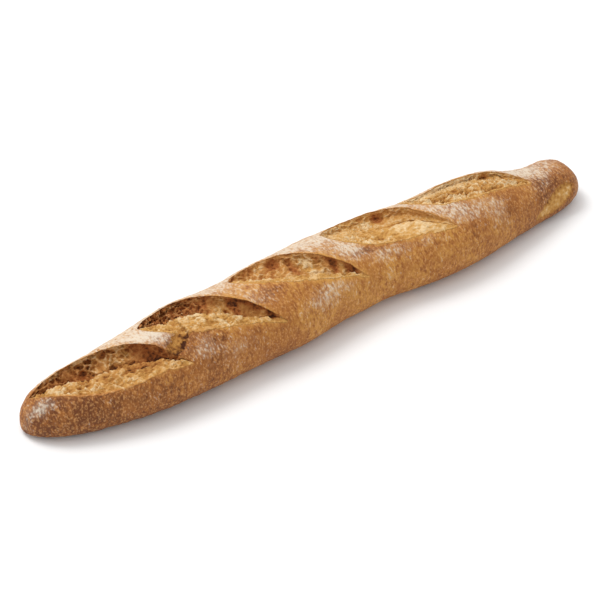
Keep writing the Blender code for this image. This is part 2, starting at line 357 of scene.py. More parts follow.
def colour_setting(name, description, default):
    return FloatVectorProperty(
        name=name, description=description, default=default, subtype="COLOR", size=3, min=0, max=1
    )


class BreadShape(PropertyGroup):
    """How rough the loaf is"""

    lumps: length_setting("Lumps", "Height of the broad lumps of the crust", 0.0007)
    wrinkles: length_setting("Wrinkles", "Height of the crust's wrinkles", 0.00035)
    grain: length_setting("Grain", "Height of the crust's finest lumps", 0.00010)
    ragged: length_setting("Ragged edges", "How far the lips stray from a clean cut", 0.0008)
    bubble_size: length_setting("Bubble size", "Size of the burst bubbles in the slashes", 0.0052)
    bubble_depth: length_setting("Bubble depth", "Depth of the burst bubbles", 0.0042)
    shred_height: length_setting("Shred height", "Height of the torn crumb on the beds", 0.0022)


class BreadColours(PropertyGroup):
    """Colours of crust, crumb and flour"""

    golden: colour_setting("Golden crust", "Crust where it has baked least", (0.56, 0.265, 0.056))
    brown: colour_setting("Brown crust", "Most of the crust", (0.345, 0.123, 0.026))
    dark: colour_setting("Dark crust", "Crust where it has baked most", (0.15, 0.046, 0.013))
    grain: colour_setting("Golden grains", "Fine grains all over the crust", (0.72, 0.37, 0.13))
    flour: colour_setting("Flour", "Flour left on the crust", (0.72, 0.635, 0.515))
    # Cream: partly painted highlight on the ridges it lies on
    cream: colour_setting("Cream crumb", "Torn crumb on its ridges", (0.78, 0.575, 0.325))
    gold: colour_setting("Golden crumb", "Most of the torn crumb", (0.58, 0.305, 0.083))
    russet: colour_setting(
        "Russet crumb", "Ridges of the walls that have baked most", (0.50, 0.21, 0.062)
    )
    toast: colour_setting(
        "Toasted crumb", "Hollows of the walls that have baked most", (0.31, 0.092, 0.020)
    )
    ochre: colour_setting("Ochre crumb", "Hollows of the torn crumb", (0.36, 0.150, 0.032))
    # The darkest crumb: partly scorched, partly painted shade in deep holes and along the valley
    scorch_and_shade: colour_setting("Scorched crumb", "The darkest hollows", (0.07, 0.020, 0.007))


class StageSettings(PropertyGroup):
    """Floor and light"""

    floor: colour_setting("Floor", "Colour of the floor", (0.90, 0.90, 0.90))
    surround: FloatProperty(
        name="Surround", description="Strength of the light from all round", default=0.70
    )
    dome: FloatProperty(name="Dome", description="Strength of the soft light from above", default=0.62)
    key: FloatProperty(
        name="Key light", description="Power of the light over the loaf", default=15.0, unit="POWER"
    )


# ==== numbers and noise ====


def smooth_step(value, low, high):
    t = np.clip((value - low) / (high - low), 0, 1)
    return t * t * (3 - 2 * t)


def bell(distance, power=2):
    """1 at distance 0, falling to 0 beyond distance 1 or so."""
    return np.exp(-(distance**power))


def running(steps):
    """The running total of steps, from 0."""
    return np.concatenate([[0], np.cumsum(steps)])


def curve_through(places, values, at):
    """A smooth curve through values at their places."""
    slope = np.gradient(values, places, axis=0)
    i = np.clip(np.searchsorted(places, at, side="right") - 1, 0, len(places) - 2)
    gap = places[i + 1] - places[i]
    t = (at - places[i]) / gap
    if values.ndim > 1:
        gap, t = gap[:, None], t[:, None]
    between = values[i] + (values[i + 1] - values[i]) * t * t * (3 - 2 * t)
    return between + gap * t * (1 - t) * (slope[i] * (1 - t) - slope[i + 1] * t)


def unit(vectors):
    return vectors / np.maximum(np.linalg.norm(vectors, axis=-1, keepdims=True), 1e-9)


def scattered(function, points, size, seed):
    """A noise function's value at each point, for lumps about size across."""
    shape = points.shape[:-1]
    places = (points / np.asarray(size) + 17.3 * seed).reshape(-1, 3).tolist()
    values = np.array([function(place) for place in places])
    return values.reshape(shape + values.shape[1:])


def lumps(points, size, seed, octaves=3):
    return scattered(lambda p: noise.fractal(p, 1.0, 2.0, octaves), points, size, seed)


def ridges(points, size, seed, octaves=3):
    """0 between thin ridges and 1 on them."""
    return 1 - np.minimum(np.abs(lumps(points, size, seed, octaves)) * 2.2, 1)


def bubbles(points, size, seed):
    """-1 in the middle of burst bubbles and 1 on the thin ridges between them."""
    near = scattered(lambda p: noise.voronoi(p)[0][:2], points, size, seed)
    inside = np.clip((near[..., 1] - near[..., 0] - BUBBLE_RIM) / BUBBLE_REACH, 0, 1)
    return 1 - 2 * np.sqrt(inside * (2 - inside))


def warped(points, reach, size, seed):
    """The points, each moved up to about reach."""
    moved = [lumps(points, size, seed + i, 2) for i in range(3)]
    return points + reach * np.stack(moved, axis=-1)


def along(values, share):
    """A list of percentages spread from share 0 to share 1, blended smoothly."""
    place = np.clip(share, 0, 1) * (len(values) - 1)
    first = np.minimum(place.astype(int), len(values) - 2)
    t = place - first
    values = np.array(values) / 100
    return values[first] + (values[first + 1] - values[first]) * t * t * (3 - 2 * t)


# ==== the loaf's shape ====


def section_table():
    """The section of a loaf with a half width of 1: place round it, Y, Z and its girth."""
    angle = np.linspace(-0.5 * np.pi, 1.5 * np.pi, SECTION_POINTS)
    cosine, sine = np.cos(angle), np.sin(angle)
    y = np.sign(cosine) * np.abs(cosine) ** (2 / SIDE_POWER)
    over = WIDEST_AT + (1 - WIDEST_AT) * np.abs(sine) ** (2 / SIDE_POWER)
    under = WIDEST_AT * (1 - BASE_FLATTENING * np.abs(sine) ** (2 / HEEL_POWER))
    z = 2 * HEIGHT_PER_WIDTH * np.maximum(np.where(sine >= 0, over, under), 0)
    length = running(np.hypot(np.diff(y), np.diff(z)))
    return length / length[-1], y, z, length[-1]


TURN, SECTION_Y, SECTION_Z, UNIT_GIRTH = section_table()


def smooth(values, x):
    """A smooth curve through the values at the loaf's stations."""
    return curve_through(np.array(STATIONS), np.array(values), x / LENGTH + 0.5)


def half_width(x):
    return smooth(WIDTHS, x) / 2


def end_rounding(x):
    """1 along the loaf, falling to 0 at its tips."""
    inside = np.clip((0.5 - np.abs(x) / LENGTH) / END_SPAN, 0, 1)
    return (1 - (1 - inside) ** END_POWER) ** (1 / END_POWER)


def girth(x):
    return UNIT_GIRTH * half_width(x) * end_rounding(x)


def body(x, turn):
    """The plain loaf's surface."""
    half, rounding = half_width(x), end_rounding(x)
    middle = 2 * HEIGHT_PER_WIDTH * TIP_AT * half
    turn = np.mod(turn, 1)
    y = smooth(SWAYS, x) + rounding * half * np.interp(turn, TURN, SECTION_Y)
    z = middle + rounding * (half * np.interp(turn, TURN, SECTION_Z) - middle)
    return np.stack([x + 0 * y, y, z], axis=-1)


def outward(x, turn):
    """The direction out of the plain loaf, from two short steps on its surface."""
    x = np.clip(x, STEP_ALONG - LENGTH / 2, LENGTH / 2 - STEP_ALONG)
    lengthwise = body(x + STEP_ALONG, turn) - body(x - STEP_ALONG, turn)
    around = body(x, turn + STEP_ROUND) - body(x, turn - STEP_ROUND)
    return unit(np.cross(around, lengthwise))


def winding(x):
    """How far round the loaf the columns have wound at x."""
    return TWIST * x - TWIST_EASING / 2 * np.maximum(x - TWIST_EASES_AT, 0) ** 2


def column_of(slash):
    place = round((slash["turn"] - float(winding(slash["start"]))) * CUT_PLACES)
    return place * COLUMNS // CUT_PLACES


def share_along(slash, x):
    return (x - slash["start"]) / (slash["end"] - slash["start"])


def lens(slash, x, widest_at):
    """0 at both ends of a slash and beyond, and 1 where it is widest."""
    share = np.clip(share_along(slash, x), 0, 1)
    a, b = LENS_POWER * widest_at, LENS_POWER * (1 - widest_at)
    return share**a * (1 - share) ** b / (widest_at**a * (1 - widest_at) ** b)


def apart(turn):
    """A difference between two places round the loaf, the short way."""
    return np.mod(turn + 0.5, 1) - 0.5


def from_cut(slash, column, side):
    """How far round the sheet columns lie from a slash's cut, and whether on its far side. On the cut
    itself, side says which: -1 for the far edge and 1 for the near edge."""
    away = apart((column - column_of(slash)) / COLUMNS)
    return away, (away < -1e-9) | ((np.abs(away) <= 1e-9) & (side < 0))


def wavering(x, seed):
    """A ragged line along the loaf, from -1 to 1. Equal places are worked out once."""
    places, back = np.unique(np.round(x, 7), return_inverse=True)
    points = np.stack([places, 0 * places, 0 * places], axis=-1)
    parts = [lumps(points, size, seed + i, 1 if i == 2 else 3) for i, size in enumerate(EDGE_SIZES)]
    values = sum(share * part for share, part in zip(EDGE_SHARES, parts))
    return values[back].reshape(x.shape)


class Loaf:
    """The shaped loaf, with the settings it is made from."""

    def __init__(self, shape):
        self.shape = shape
        self.edges = {}

    def strays(self, x, slash_number, side):
        """How far one edge of a slash strays from a clean cut, in metres."""
        key = (slash_number, side)
        if key not in self.edges:
            places = np.linspace(-LENGTH / 2, LENGTH / 2, 2161)
            self.edges[key] = places, wavering(places, 3 * slash_number + side)
        return self.shape.ragged * np.interp(x, *self.edges[key])

    def opened(self, column, x, side):
        """Where a column lies at x once the slashes have pushed the crust aside."""
        turn = column / COLUMNS + winding(x)
        per_metre = 1 / np.maximum(girth(x), 0.05)
        for number, slash in enumerate(SLASHES):
            away, on_far = from_cut(slash, column, side)
            width = lens(slash, x, 0.5)
            far = -slash["far"] * lens(slash, x, slash["far_at"])
            near = slash["near"] * lens(slash, x, slash["near_at"])
            far = far + width * self.strays(x, number, 0) * per_metre
            near = near + width * self.strays(x, number, 1) * per_metre
            gives_way = np.clip(1 - np.abs(away) / SPREAD, 0, 1) ** 2
            turn = turn + np.where(on_far, far, near) * gives_way
        return turn

    def lifted(self, column, x, side, turn):
        """How far the crust stands out beside the slashes."""
        height = np.zeros(turn.shape)
        for slash in SLASHES:
            _, on_far = from_cut(slash, column, side)
            from_lip, from_rim = self.from_edges(slash, x, turn)
            lip = LIFT * bell(from_lip / LIP_REACH, LIP_POWER)
            rim = NEAR_SWELL * bell(from_rim / NEAR_REACH)
            height += np.where(on_far, lip, rim) * lens(slash, x, 0.5) ** RISE_POWER
        return height

    def from_edges(self, slash, x, turn):
        """Distances round the loaf from a slash's lip and from its near edge."""
        column = float(column_of(slash))
        lip = self.opened(column, x, -1.0)
        rim = self.opened(column, x, 1.0)
        return np.abs(apart(lip - turn)) * girth(x), np.abs(apart(rim - turn)) * girth(x)

    def crust(self, column, x, side):
        """Points on the finished crust, and their places round the loaf."""
        turn = self.opened(column, x, side)
        point = body(x, turn)
        out = outward(x, turn)
        height = self.lifted(column, x, side, turn) + self.unevenness(point)
        for *_, depth in torn_places(x, turn):
            height -= depth
        point = point + out * height[..., None]
        point[..., 2] = np.maximum(point[..., 2], 0)
        return point, turn

    def unevenness(self, point):
        """Lumps, wrinkles that run round the loaf, and grain."""
        shape = self.shape
        height = shape.lumps * lumps(point, LUMP_SIZE, 1, 2)
        height += shape.wrinkles * lumps(point, WRINKLE_SIZE, 2, 3)
        return height + shape.grain * lumps(point, GRAIN_SIZE, 3, 2)


def torn_places(x, turn):
    """Each tear, with how torn the crust is (1 in its middle, 0 outside it), how near its steep side
    it is (1 there) and how deep it lies."""
    around, length = girth(x), 1 + 2 * TEAR_BEYOND
    for tear in TEARS:
        (x0, turn0), (x1, turn1) = tear["start"], tear["end"]
        along_x, along_round = x1 - x0, (turn1 - turn0) * around
        dx, dr = x - x0, apart(turn - turn0) * around
        reach = np.maximum(along_x**2 + along_round**2, 1e-9)
        share = (dx * along_x + dr * along_round) / reach
        across = (dr * along_x - dx * along_round) / np.sqrt(reach) / tear["half_width"]
        close = (np.abs(across) < 2) & (np.abs(share - 0.5) < 1)
        places = np.stack([dx + 0 * dr, dr, 0 * dr], axis=-1)[close]
        across[close] += tear["frayed"] * lumps(places, FRAY_SIZE, 7, 3)
        width = 4 * (share + TEAR_BEYOND) * (1 + TEAR_BEYOND - share) / length**2
        width = np.sqrt(np.clip(width, 0, 1)) * (1 + tear["widens"] * (np.clip(share, 0, 1) - 0.5))
        steep = across * tear["step"]
        inside = (width - np.abs(across)) / np.where(steep > 0, TEAR_STEEP, TEAR_GENTLE)
        mask = smooth_step(inside, 0.0, 1.0) * (width > 0.02)
        shade = bell((steep - SHADE_AT * width) / SHADE_REACH) * (width > 0.02)
        yield tear, mask, shade, tear["depth"] * mask * (0.8 + 0.3 * np.clip(steep, -1, 1))


# ==== inside the slashes ====


def profile_curve():
    """PROFILE as evenly spaced points on a smooth curve: shares across and depths."""
    points = np.array(PROFILE)
    places = points * (WIDE_OPENING, 1)
    length = running(np.linalg.norm(np.diff(places, axis=0), axis=1))
    return curve_through(length, points, np.linspace(0, length[-1], LINING_COLUMNS + 1))


def grid_normals(grid):
    lengthwise = np.gradient(grid, axis=0)
    across = np.gradient(grid, axis=1)
    return unit(np.cross(across, lengthwise))


def pocket_mask(slash, u, v, width, pocket):
    """1 in the middle of a pocket and 0 beyond it."""
    at_u, at_v, half_length, half_width = pocket[:4]
    far = ((u - at_u) * (slash["end"] - slash["start"]) / half_length) ** 2
    far = far + ((v - at_v) * LINING_FULLNESS * width / half_width) ** 2
    return bell(far, 1.5)


class Lining:
    """The torn sheet inside one slash. Its rows follow x, and its columns run from the lip to the
    near edge. u and v are the shares along and across it."""

    def __init__(self, loaf, number, x):
        self.slash, self.shape, self.number = SLASHES[number], loaf.shape, number
        self.u = share_along(self.slash, x)[:, None]
        self.v = np.linspace(0, 1, LINING_COLUMNS + 1)[None, :]
        column = np.full(x.shape, float(column_of(self.slash)))
        self.lip, lip_turn = loaf.crust(column, x, -1.0)
        self.rim, rim_turn = loaf.crust(column, x, 1.0)
        self.width = np.linalg.norm(self.rim - self.lip, axis=-1)
        sideways = unit(self.rim - self.lip)
        out = outward(x, (lip_turn + rim_turn) / 2)
        self.out = unit(out - sideways * np.sum(out * sideways, axis=-1, keepdims=True))
        self.wall = (1 - smooth_step(self.v, VALLEY_AT - 0.03, VALLEY_AT + 0.09)) * np.ones_like(self.u)
        self.bed = 1 - self.wall

    def run(self, name):
        """One of the slash's lists, along the sheet."""
        return along(self.slash[name], self.u)

    def seed(self, name):
        return SEEDS[name] + self.number

    def plain(self):
        """The smooth sheet."""
        v, hang = self.v, self.slash["hang"]
        share, depth = profile_curve().T
        leaning = WALL_FOOT[0] * depth / WALL_FOOT[1]
        upper = (share < WALL_FOOT[0]) & (v[0] < VALLEY_AT)
        share = np.where(upper, hang * share + (1 - hang) * leaning, share)
        near_valley = smooth_step(v, 0.05, VALLEY_AT) * (1 - smooth_step(v, VALLEY_AT, 0.97))
        share = share + (self.run("valley") - VALLEY_SHARE) * near_valley
        fullness = np.clip(self.width / FULL_OPENING, 0, 1)[:, None]
        depth = depth * (1 + (self.run("floor") - 1) * near_valley) * fullness
        across = (self.rim - self.lip)[:, None] * share[..., None]
        return self.lip[:, None] + across - self.out[:, None] * depth[..., None]

    def pitted(self, grid, place):
        """Burst bubbles, from -1 in the middle of one to 1 on the ridges between them."""
        size = self.slash["coarse"] * self.shape.bubble_size
        big = bubbles(place, np.array(BUBBLE_STRETCH) * size, self.seed("big"))
        small = bubbles(place, SMALL_BUBBLES * size, self.seed("small"))
        patchy = np.clip(1.0 + 0.9 * lumps(grid, PATCH_SIZE, self.seed("patches"), 2), 0.5, 1.3)
        firm = sum(mask * (pocket[4] > FIRM_DEPTH) for pocket, mask in self.pockets)
        smoothed = 1 - FIRMNESS * np.clip(firm, 0, 1)
        return self.run("bubble") * (BIG_SHARE * big + SMALL_SHARE * small) * smoothed * patchy

    def torn(self, grid, place):
        """Ridges, shreds and curls of torn crumb, above and below 0."""
        rolls = lumps(grid, ROLL_SIZE, self.seed("rolls"), 2)
        torn = ridges(place, TORN_SIZE, self.seed("torn"), 2) - RIDGE_LEVEL
        shreds = ridges(place, SHRED_SIZE, self.seed("shreds"), 3) - RIDGE_LEVEL
        torn = TORN_SHARE * torn + SHRED_SHARE * shreds
        curls = bubbles(place, CURL_SIZE, self.seed("curls"))
        return self.run("shred") * (torn - CURLS * curls + ROLLS * rolls)

    def make(self):
        """The finished points, with their masks."""
        slash, v, width = self.slash, self.v, self.width[:, None]
        grid = self.plain()
        normal = grid_normals(grid)
        edge = smooth_step(v, 0.01, 0.07) * smooth_step(1 - v, 0.0, 0.05)
        fade = edge * smooth_step(width, 0.0, 0.010)
        pockets = np.array(slash["pockets"]) / POCKET_UNITS
        self.pockets = [(p, pocket_mask(slash, self.u, v, width, p)) for p in pockets]
        sunk = sum(pocket[4] * mask for pocket, mask in self.pockets)
        grid = grid - unit(normal + self.out[:, None]) * (sunk * fade)[..., None]
        place = warped(grid, WARP_REACH, WARP_SIZE, self.seed("warp"))
        pitted, torn = self.pitted(grid, place), self.torn(grid, place)
        detail = self.wall * pitted * self.shape.bubble_depth / 2
        detail = detail + self.bed * torn * self.shape.shred_height
        grid = grid + normal * (detail * fade)[..., None]
        grid[:, 0], grid[:, -1] = self.lip, self.rim
        return grid, self.masks(grid, pitted, torn)

    def masks(self, grid, pitted, torn):
        v, wall = self.v, self.wall
        mottle = lumps(grid, MOTTLE_SIZE, self.seed("mottle"))
        roast = self.run("roast") * (1 + 0.6 * mottle)
        roast = roast * (1 - self.run("pales") * smooth_step(v, 0.12, VALLEY_AT))
        # Painted light: the wall just under the lip is made paler against the lip's shade
        under_lip = 1 - smooth_step(v, 0.03, 0.12)
        # Wall pits darker and ridges paler: partly painted shade and painted highlight
        wall_tone = WALL_TONE - ROAST_DARKENS * roast + UNDER_LIP_PAINTED_LIGHT * under_lip + PITS_TOAST_AND_SHADE * pitted
        # Painted light in part: a wall with roast below 0 may be paler than the others
        palest = WALL_TONES[1] + WALL_PALE_AND_LIT * np.maximum(-roast, 0)
        # Bed: paler ridges, darker hollows, partly painted highlight and painted shade
        bed_tone = BED_TONE + RIDGES_PALE_AND_LIT * np.clip(torn, -1.5, 1) + MOTTLING * mottle
        # Painted shade along the valley, strongest in slashes whose walls have baked darkest
        painted_valley_shade = bell((v - VALLEY_AT + 0.010) / 0.035) * np.clip(self.run("roast") + 0.3, 0, 1)
        tone = wall * np.clip(wall_tone, WALL_TONES[0], palest) + self.bed * bed_tone
        tone = tone - VALLEY_PAINTED_SHADE * painted_valley_shade
        redness = wall * roast
        # Pockets: colour patches, and in deep holes partly painted shade
        for pocket, mask in self.pockets:
            tone = tone - POCKETS_DARKEN_AND_SHADE * pocket[5] * mask
            redness = redness + pocket[5] * mask
        return dict(
            crumb=smooth_step(v, 0.01, 0.04) * np.ones_like(self.u),
            roast=np.clip(redness, 0, 1),
            tone=np.clip(tone, 0, 1),
            flour=np.zeros(tone.shape),
        )


# ==== the crust's masks ====


MASKS = ("crumb", "roast", "tone", "flour")  # each is an attribute of the mesh


def torn_masks(x, turn):
    """How torn the crust is, and how pale it is there, with painted shade on the steep side of each
    tear.
    """
    crumb, tone = np.zeros(x.shape), np.full(x.shape, CRUST_TONE)
    grain = lumps(np.stack([x, turn * girth(x), 0 * x], axis=-1), FRAY_SIZE, 8, 2)
    for tear, mask, shade, _ in torn_places(x, turn):
        crumb = np.maximum(crumb, mask)
        # A tear's steep side is darkened with painted shade
        tone += mask * (tear["tone"] - CRUST_TONE + 0.30 * grain - tear["shade"] * shade)
    return crumb, tone


def baked_and_floured(x, turn):
    """How dark the crust has baked, and how thick flour lies on it. The darker underside is partly
    painted shade, and the thick flour on top partly painted light.
    """
    height = np.interp(turn, TURN, SECTION_Z) / SECTION_Z.max()
    tip = smooth_step(np.abs(x), *TIPS_FROM)
    facing = smooth_step(turn, *NEAR_SIDE_FROM) * (1 - smooth_step(turn, *NEAR_SIDE_TO))
    facing = np.maximum(facing, TIPS_BAKE * smooth_step(-x, *NOSE_BAKES_FROM))
    facing += (TIPS_BAKE - facing) * tip
    top = smooth_step(TOP_ENDS_AT - turn, *TOP_REACHES) * (0.4 + 0.6 * smooth_step(height, *TOP_ABOVE))
    # Darker underside, partly painted shade
    roast = UNDERSIDE_ROAST_AND_SHADE * (1 - smooth_step(height, *UNDERSIDE_UP_TO))
    roast = roast + along(BAKED, x / LENGTH + 0.5) * facing
    roast -= TOP_PALES * top * (1 - smooth_step(x, *TOP_PALES_TO))
    ends = 1 - TAIL_LESS_FLOURED * smooth_step(x, *TAIL_FLOUR_FROM)
    ends = ends * (1 - NOSE_LESS_FLOURED * smooth_step(-x, *NOSE_FLOUR_FROM)) * (1 - TIPS_BAKE * tip)
    # The thick flour on top is partly painted light
    flour = FLOUR_EVERYWHERE + FLOUR_AND_LIGHT_ON_TOP * top * smooth_step(height, *FLOUR_ABOVE) * ends
    for mask, spots in ((roast, DARKENED), (flour, FLOURED)):
        for at_x, at_turn, half_length, half_width, strength in np.array(spots) / SPOT_UNITS:
            far = ((x - at_x) / half_length) ** 2
            far = far + (apart(turn - at_turn) * girth(x) / half_width) ** 2
            mask += SPOT_STRENGTH * strength * bell(far, 1)
    return roast, flour


def crust_masks(loaf, x, turn):
    """Masks of crumb, roast, tone and flour on the crust."""
    crumb, tone = torn_masks(x, turn)
    turn = np.mod(turn, 1)
    roast, flour = baked_and_floured(x, turn)
    roast *= 1 - crumb
    gild = np.zeros(x.shape)
    for slash in SLASHES:
        from_lip, from_rim = loaf.from_edges(slash, x, turn)
        opening = lens(slash, x, 0.5) ** 0.5
        beside = slash["band"] * bell(from_rim / RIM_BAND) + LIP_GILDING * bell(from_lip / LIP_BAND)
        gild = np.maximum(gild, opening * beside)
        reach = SPILL * along(slash["spill"], share_along(slash, x))
        spilled = 1 - 0.5 * from_rim / reach
        crumb = np.maximum(crumb, np.clip(spilled, 0, 1) * (opening > 0.1))
    return dict(
        crumb=crumb,
        roast=np.clip(roast, -1, 1),
        tone=crumb * tone + (1 - crumb) * gild,
        flour=np.clip(flour - 0.4 * gild, 0, 1),
    )


# ==== the loaf's mesh ====


def row_places():
    """Rows evenly spaced over the loaf's outline, with one at each slash's end."""
    x = np.linspace(-LENGTH / 2, LENGTH / 2, 20001)
    outline = half_width(x) * end_rounding(x)
    length = running(np.hypot(np.diff(x), np.diff(outline)))
    closer = 1 + bell((x - TEAR_ROWS_AT) / TEAR_ROWS_REACH, 4)
    length = running(np.diff(length) * closer[1:])
    places = np.interp(np.linspace(0, length[-1], ROWS + 1), length, x)
    for slash in SLASHES:
        for end_place in (slash["start"], slash["end"]):
            places[np.argmin(np.abs(places - end_place))] = end_place
    return places


def row_of(rows, x):
    return int(np.argmin(np.abs(rows - x)))


def lining_uv(number, from_start, across):
    """Texture place of a lining's corner, in a strip of its own."""
    u = (LENGTH / 2 + UV_GAP + from_start * LINING_ZOOM) / UV_SIZE
    return u, (number * LINING_STRIP + across * LINING_ACROSS * LINING_ZOOM) / UV_SIZE


def crust_uv(half, x, column):
    """Texture place of a crust corner. half is -1 for the loaf's first half and 0 for its second."""
    across = column / COLUMNS * UV_ROUND
    if half < 0:
        return (x + LENGTH / 2) / UV_SIZE, across / UV_SIZE
    return x / UV_SIZE, (across + UV_ROUND + UV_GAP) / UV_SIZE


class LoafMesh:
    """The whole loaf as one closed mesh: a sheet of crust with a cut along each slash, and a lining
    sewn into each cut."""

    def __init__(self, loaf):
        self.loaf, self.rows = loaf, row_places()
        self.points, self.faces, self.places = [], [], []
        self.masks = {name: [] for name in MASKS}
        self.cuts = [
            (column_of(s) % COLUMNS, row_of(self.rows, s["start"]), row_of(self.rows, s["end"]))
            for s in SLASHES
        ]
        self.sewn = {}  # lining points between two rows of the crust
        self.add_crust_points()
        for number in range(len(SLASHES)):
            self.add_lining(number)
        for column in range(COLUMNS):
            for row in range(ROWS):
                self.add_crust_face(column, row)

    def add_points(self, points, masks):
        """Adds points and gives their numbers."""
        first = sum(map(len, self.points))
        self.points.append(points.reshape(-1, 3))
        for name, values in self.masks.items():
            values.append(masks[name].reshape(-1))
        return np.arange(first, first + len(self.points[-1]))

    def add_face(self, corners, places):
        self.faces.append(corners)
        self.places.extend(places)

    def add_crust_points(self):
        """One point for each column and row, and a second one along each cut."""
        grid_column, grid_row = np.meshgrid(np.arange(COLUMNS), np.arange(1, ROWS), indexing="ij")
        doubled = [(c, r) for c, first, last in self.cuts for r in range(first + 1, last)]
        column = np.concatenate([grid_column.ravel(), [c for c, _ in doubled], [0, 0]]).astype(int)
        row = np.concatenate([grid_row.ravel(), [r for _, r in doubled], [0, ROWS]]).astype(int)
        side = np.concatenate([np.full(grid_row.size, -1.0), np.ones(len(doubled)), [-1, -1]])
        x = self.rows[row]
        points, turn = self.loaf.crust(column.astype(float), x, side)
        number = self.add_points(points, crust_masks(self.loaf, x, turn))
        self.left = np.full((COLUMNS, ROWS + 1), -1)
        self.left[:, 1:ROWS] = number[: grid_row.size].reshape(COLUMNS, ROWS - 1)
        self.left[:, 0], self.left[:, ROWS] = number[-2], number[-1]
        self.right = self.left.copy()
        for (c, r), n in zip(doubled, number[grid_row.size : -2]):
            self.right[c, r] = n

    def add_lining(self, number):
        """A slash's lining, with extra rows between each two rows of the crust."""
        c, first, last = self.cuts[number]
        count = LINING_ROWS * (last - first)
        crust_rows = np.arange(count + 1) / LINING_ROWS + first
        place = np.interp(crust_rows, np.arange(ROWS + 1), self.rows)
        grid, masks = Lining(self.loaf, number, place).make()
        inside = {name: values[1:-1, :] for name, values in masks.items()}
        made = self.add_points(grid[1:-1], inside).reshape(count - 1, LINING_COLUMNS + 1)
        numbers = np.empty((count + 1, LINING_COLUMNS + 1), int)
        numbers[1:-1] = made
        numbers[0], numbers[-1] = self.left[c, first], self.left[c, last]
        numbers[LINING_ROWS:-1:LINING_ROWS, 0] = self.left[c, first + 1 : last]
        numbers[LINING_ROWS:-1:LINING_ROWS, -1] = self.right[c, first + 1 : last]
        for j in range(count):
            for k in range(LINING_COLUMNS):
                spots = [(j, k), (j + 1, k), (j + 1, k + 1), (j, k + 1)]
                if j == 0:
                    spots = spots[:3]
                elif j == count - 1:
                    spots = spots[:2] + spots[3:]
                uv = [lining_uv(number, place[a] - place[0], b / LINING_COLUMNS) for a, b in spots]
                self.add_face([numbers[a, b] for a, b in spots], uv)
        for i in range(last - first):
            extra_rows = slice(LINING_ROWS * i + 1, LINING_ROWS * (i + 1))
            for edge, side in (("far", 0), ("near", -1)):
                self.sewn[edge, c, first + i] = list(numbers[extra_rows, side])

    def add_crust_face(self, c, r):
        left, right, rows = self.left, self.right, self.rows
        after = (c + 1) % COLUMNS
        corners = [right[c, r], right[c, r + 1], left[after, r + 1], left[after, r]]
        spots = [(rows[r], c), (rows[r + 1], c), (rows[r + 1], c + 1), (rows[r], c + 1)]
        if r == 0:
            corners, spots = corners[1:], spots[1:]
            corners[2], spots[2] = left[after, 0], (rows[0], c + 0.5)
        elif r == ROWS - 1:
            corners = [corners[0], corners[1], corners[3]]
            spots = [spots[0], (rows[ROWS], c + 0.5), spots[3]]
        else:
            steps = rows[r] + (rows[r + 1] - rows[r]) * np.arange(1, LINING_ROWS) / LINING_ROWS
            if ("far", after, r) in self.sewn:
                corners[3:3] = reversed(self.sewn["far", after, r])
                spots[3:3] = [(step, c + 1) for step in reversed(steps)]
            if ("near", c, r) in self.sewn:
                corners[1:1] = self.sewn["near", c, r]
                spots[1:1] = [(step, c) for step in steps]
        half = 0.0 if rows[r] + rows[r + 1] >= 0 else -1.0
        self.add_face(corners, [crust_uv(half, x, column) for x, column in spots])


def loaf_mesh(shape):
    """The loaf's mesh, set down in the middle of the CAD loaf's box."""
    parts = LoafMesh(Loaf(shape))
    points = np.concatenate(parts.points)
    used = np.zeros(len(points), bool)
    for face in parts.faces:
        used[face] = True
    renumber = np.cumsum(used) - 1
    points = points[used]
    low, high = points.min(axis=0), points.max(axis=0)
    cad_low, cad_high = np.array(CAD_BOX[0]), np.array(CAD_BOX[1])
    points += (cad_low + cad_high) / 2 - (low + high) / 2
    points[:, 2] += cad_low[2] - points[:, 2].min()
    mesh = bpy.data.meshes.new("loaf")
    faces = [[int(renumber[n]) for n in face] for face in parts.faces]
    mesh.from_pydata(points.tolist(), [], faces)
    for name, values in parts.masks.items():
        data = mesh.attributes.new(name, "FLOAT", "POINT")
        data.data.foreach_set("value", np.concatenate(values)[used].astype(np.float32))
    layer = mesh.uv_layers.new(name="OFBake")
    layer.data.foreach_set("uv", np.array(parts.places, np.float32).ravel())
    mesh.flip_normals()
    mesh.update()
    mesh.shade_smooth()
    return mesh


# ==== materials ====


